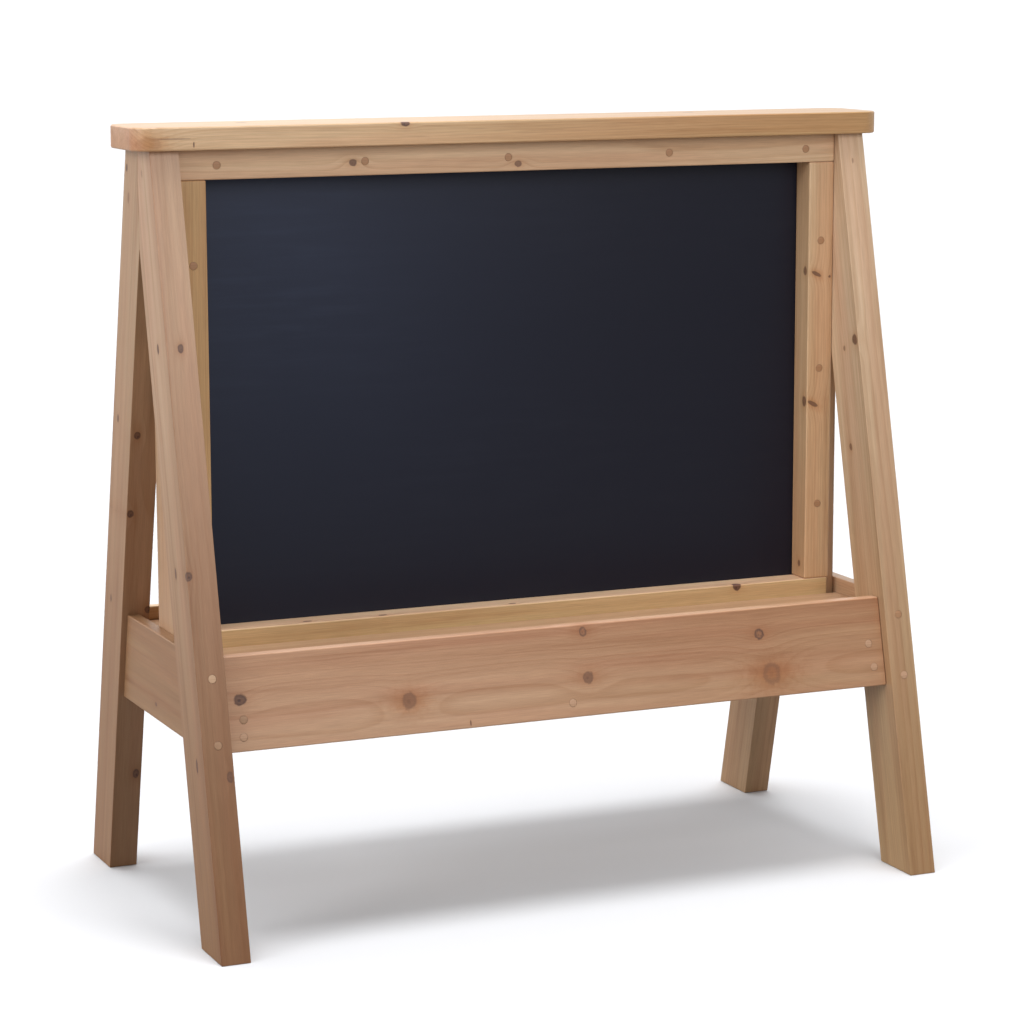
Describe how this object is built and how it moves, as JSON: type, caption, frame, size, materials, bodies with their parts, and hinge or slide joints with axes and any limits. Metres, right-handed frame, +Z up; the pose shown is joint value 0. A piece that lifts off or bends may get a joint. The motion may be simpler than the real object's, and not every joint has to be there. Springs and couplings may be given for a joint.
{
  "type": "kids easel",
  "caption": "Double-sided wooden chalkboard easel on leaning A-shaped ends, with a flat cap board and a shallow chalk tray along each side.",
  "frame": {"origin": "on the floor, midway between the four feet, under the middle of the cap board", "axes": "+Z up; +X along the cap board to the right as seen from the front; +Y from the front face of the board to the rear face"},
  "size_m": [1.252, 0.661, 1.2003],
  "materials": {
    "pine_timber": "oiled planed softwood, satin",
    "pine_cap": "oiled planed softwood, satin",
    "plug_wood": "planed flush, oiled",
    "chalkboard_paint": "smooth satin chalkboard surface",
    "screw_zinc": "zinc-plated"
  },
  "bodies": {
    "root": {"cap_board": "pine_cap", "leg_front_left": "pine_timber", "leg_front_right": "pine_timber", "leg_rear_left": "pine_timber", "leg_rear_right": "pine_timber", "front_top_rail": "pine_timber", "front_bottom_rail": "pine_timber", "front_stile_left": "pine_timber", "front_stile_right": "pine_timber", "rear_top_rail": "pine_timber", "rear_bottom_rail": "pine_timber", "rear_stile_left": "pine_timber", "rear_stile_right": "pine_timber", "chalkboard_panel": "chalkboard_paint", "centre_batten_left": "pine_timber", "end_board_left": "pine_timber", "centre_batten_right": "pine_timber", "end_board_right": "pine_timber", "front_apron": "pine_timber", "front_tray_floor": "pine_timber", "rear_apron": "pine_timber", "rear_tray_floor": "pine_timber", "tray_bearer_left": "pine_timber", "tray_bearer_centre": "pine_timber", "tray_bearer_right": "pine_timber", "leg_plug_front_left_lower": "plug_wood", "leg_plug_front_left_upper": "plug_wood", "leg_plug_front_right_lower": "plug_wood", "leg_plug_front_right_upper": "plug_wood", "leg_plug_rear_left_lower": "plug_wood", "leg_plug_rear_left_upper": "plug_wood", "leg_plug_rear_right_lower": "plug_wood", "leg_plug_rear_right_upper": "plug_wood", "front_apron_plug_left_low": "plug_wood", "front_apron_plug_left_high": "plug_wood", "front_apron_plug_centre": "plug_wood", "front_apron_plug_right_low": "plug_wood", "front_apron_plug_right_high": "plug_wood", "rear_apron_plug_left_low": "plug_wood", "rear_apron_plug_left_high": "plug_wood", "rear_apron_plug_centre": "plug_wood", "rear_apron_plug_right_low": "plug_wood", "rear_apron_plug_right_high": "plug_wood", "leg_screw_front_left_lower": "screw_zinc", "leg_screw_front_left_upper": "screw_zinc", "leg_screw_front_right_lower": "screw_zinc", "leg_screw_front_right_upper": "screw_zinc", "leg_screw_rear_left_lower": "screw_zinc", "leg_screw_rear_left_upper": "screw_zinc", "leg_screw_rear_right_lower": "screw_zinc", "leg_screw_rear_right_upper": "screw_zinc", "cap_screw_front_left": "screw_zinc", "cap_screw_front_right": "screw_zinc", "cap_screw_rear_left": "screw_zinc", "cap_screw_rear_right": "screw_zinc"}
  },
  "joints": []
}
